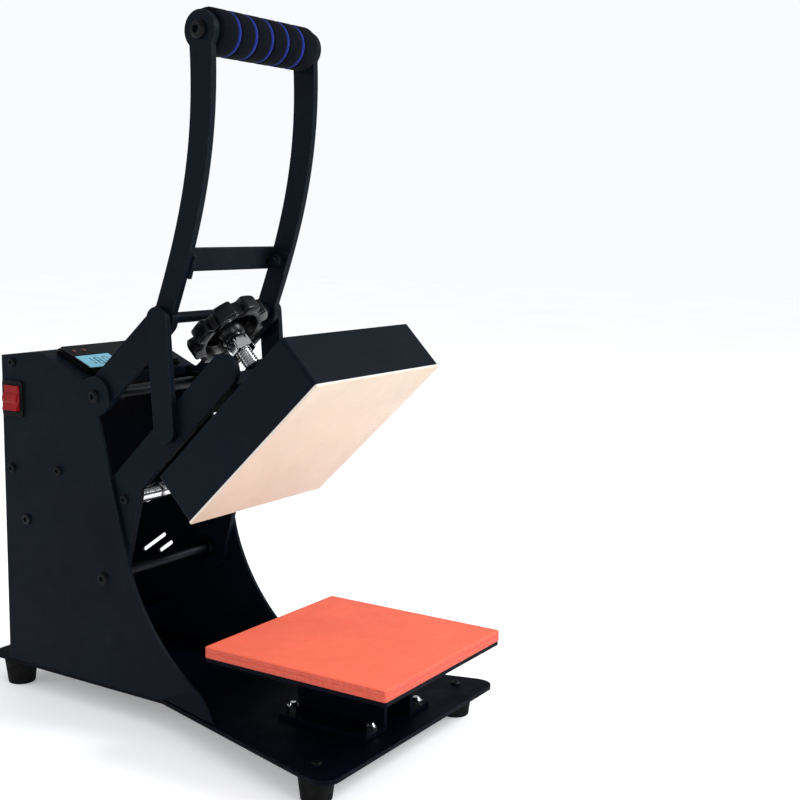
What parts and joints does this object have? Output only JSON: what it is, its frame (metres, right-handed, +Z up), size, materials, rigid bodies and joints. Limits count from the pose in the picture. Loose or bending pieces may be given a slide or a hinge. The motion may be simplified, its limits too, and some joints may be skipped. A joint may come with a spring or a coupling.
{
  "type": "tabletop heat press",
  "caption": "Small clamshell heat press: a heated square platen on a toggle arm swings down over a silicone pad, pulled by a curved two-bar handle with a foam grip.",
  "frame": {"origin": "centre of the bounding box's footprint, on the plane the feet stand on", "axes": "+Z up; +X across the machine towards its right side seen from the front; +Y from the pressing bed at the front towards the control frame at the back"},
  "size_m": [0.216, 0.388, 0.5082],
  "materials": {
    "base_coat": "satin black powder coat",
    "black_plastic": "fine-textured black",
    "board": "green board",
    "brass": "plain",
    "chrome": "polished chrome",
    "cream_plastic": "cream",
    "dark_screws": "blackened, satin",
    "dark_steel": "blackened, satin",
    "display": "pale blue display behind a clear window",
    "element": "dull heating element",
    "foam": "black foam with dark blue rings",
    "foot_rubber": "black rubber",
    "gloss_black": "glossy black",
    "insulation": "white glass wool",
    "key_plastic": "satin dark grey",
    "led": "red tinted",
    "platen": "beige non-stick coating on cast aluminium",
    "powder_coat": "satin fine-textured navy-black powder coat",
    "red_plastic": "glossy red",
    "silicone": "orange-red silicone sponge, matt",
    "spring_steel": "bright spring wire",
    "zinc_steel": "bright zinc plated"
  },
  "bodies": {
    "frame": {"base_plate": "base_coat", "feet": "foot_rubber", "foot_screws": "dark_screws", "side_plate_left": "powder_coat", "side_plate_right": "powder_coat", "rear_panel": "powder_coat", "top_panel": "powder_coat", "frame_screws": "dark_screws", "pivot_brace": "powder_coat", "electronics_tray": "base_coat", "relay_block": "cream_plastic", "terminal_block": "black_plastic", "lever_pivot_shaft": "dark_steel", "arm_pivot_shaft": "dark_steel", "shaft_collars": "zinc_steel", "pivot_screws": "dark_screws", "spring_rod": "dark_steel", "lift_springs": "spring_steel", "controller_bezel": "gloss_black", "controller_case": "black_plastic", "controller_board": "board", "display_window": "display", "status_leds": "led", "switch_bezel": "black_plastic", "mains_inlet": "black_plastic", "inlet_pins": "brass", "pedestal": "base_coat", "pedestal_bolts": "chrome", "bed_plate": "base_coat", "bed_screws": "zinc_steel", "silicone_pad": "silicone"},
    "key_set": {"key_set": "key_plastic"},
    "key_up": {"key_up": "key_plastic"},
    "key_down": {"key_down": "key_plastic"},
    "rocker": {"switch_rocker": "red_plastic"},
    "arm": {"arm_left": "powder_coat", "arm_right": "powder_coat", "arm_cross_rod": "zinc_steel", "toggle_pins": "zinc_steel", "pressure_beam": "powder_coat"},
    "heater": {"heating_platen": "platen", "heating_element": "element", "insulation_blanket": "insulation", "heater_cover": "powder_coat", "cover_screws": "zinc_steel", "screw_hub": "powder_coat", "guide_pins": "zinc_steel", "lead_gland": "black_plastic"},
    "knob": {"pressure_screw": "chrome", "lock_nut": "chrome", "pressure_knob": "black_plastic"},
    "lever": {"lever_left": "powder_coat", "lever_right": "powder_coat", "lever_spreader": "powder_coat", "handle_crossbar": "powder_coat", "grip_tube": "zinc_steel", "foam_grip": "foam", "grip_screws": "dark_screws"},
    "links": {"link_left": "powder_coat", "link_right": "powder_coat"}
  },
  "joints": [
    {"name": "handle_pull", "type": "hinge", "parent": "frame", "child": "lever", "pos_m": [0, 0.0711, 0.2396], "axis": [1, 0, 0], "range_deg": [0, 78.2]},
    {"name": "link_swing", "type": "hinge", "parent": "lever", "child": "links", "pos_m": [0, 0.0069, 0.2986], "axis": [1, 0, 0], "range_deg": [-128.64, 0]},
    {"name": "arm_swing", "type": "hinge", "parent": "frame", "child": "arm", "pos_m": [0, 0.0651, 0.1042], "axis": [1, 0, 0], "range_deg": [0, 44.2], "stiffness_Nm_per_rad": 4, "springref_deg": -108.86, "deforming": ["lift_springs"]},
    {"name": "heater_lift", "type": "slide", "parent": "arm", "child": "heater", "axis": [0, 0.6959, 0.7181], "range_m": [0, 0.004]},
    {"name": "knob_turn", "type": "hinge", "parent": "heater", "child": "knob", "pos_m": [0, -0.00689, 0.28439], "axis": [0, 0.6959, 0.7181], "range_deg": [0, 720]},
    {"name": "rocker_tilt", "type": "hinge", "parent": "frame", "child": "rocker", "pos_m": [-0.061, 0.157, 0.231], "axis": [0, 1, 0], "range_deg": [-14, 0]},
    {"name": "key_set_press", "type": "slide", "parent": "frame", "child": "key_set", "axis": [0, 0.39, -0.9208], "range_m": [0, 0.001], "stiffness_N_per_m": 300},
    {"name": "key_up_press", "type": "slide", "parent": "frame", "child": "key_up", "axis": [0, 0.39, -0.9208], "range_m": [0, 0.001], "stiffness_N_per_m": 300},
    {"name": "key_down_press", "type": "slide", "parent": "frame", "child": "key_down", "axis": [0, 0.39, -0.9208], "range_m": [0, 0.001], "stiffness_N_per_m": 300}
  ],
  "couplings": [
    {"joint": "link_swing", "follows": "handle_pull", "ratio": -1.6424},
    {"joint": "arm_swing", "follows": "handle_pull", "ratio": 0.56394},
    {"joint": "knob_turn", "follows": "heater_lift", "rad_per_m": 3141.6}
  ]
}
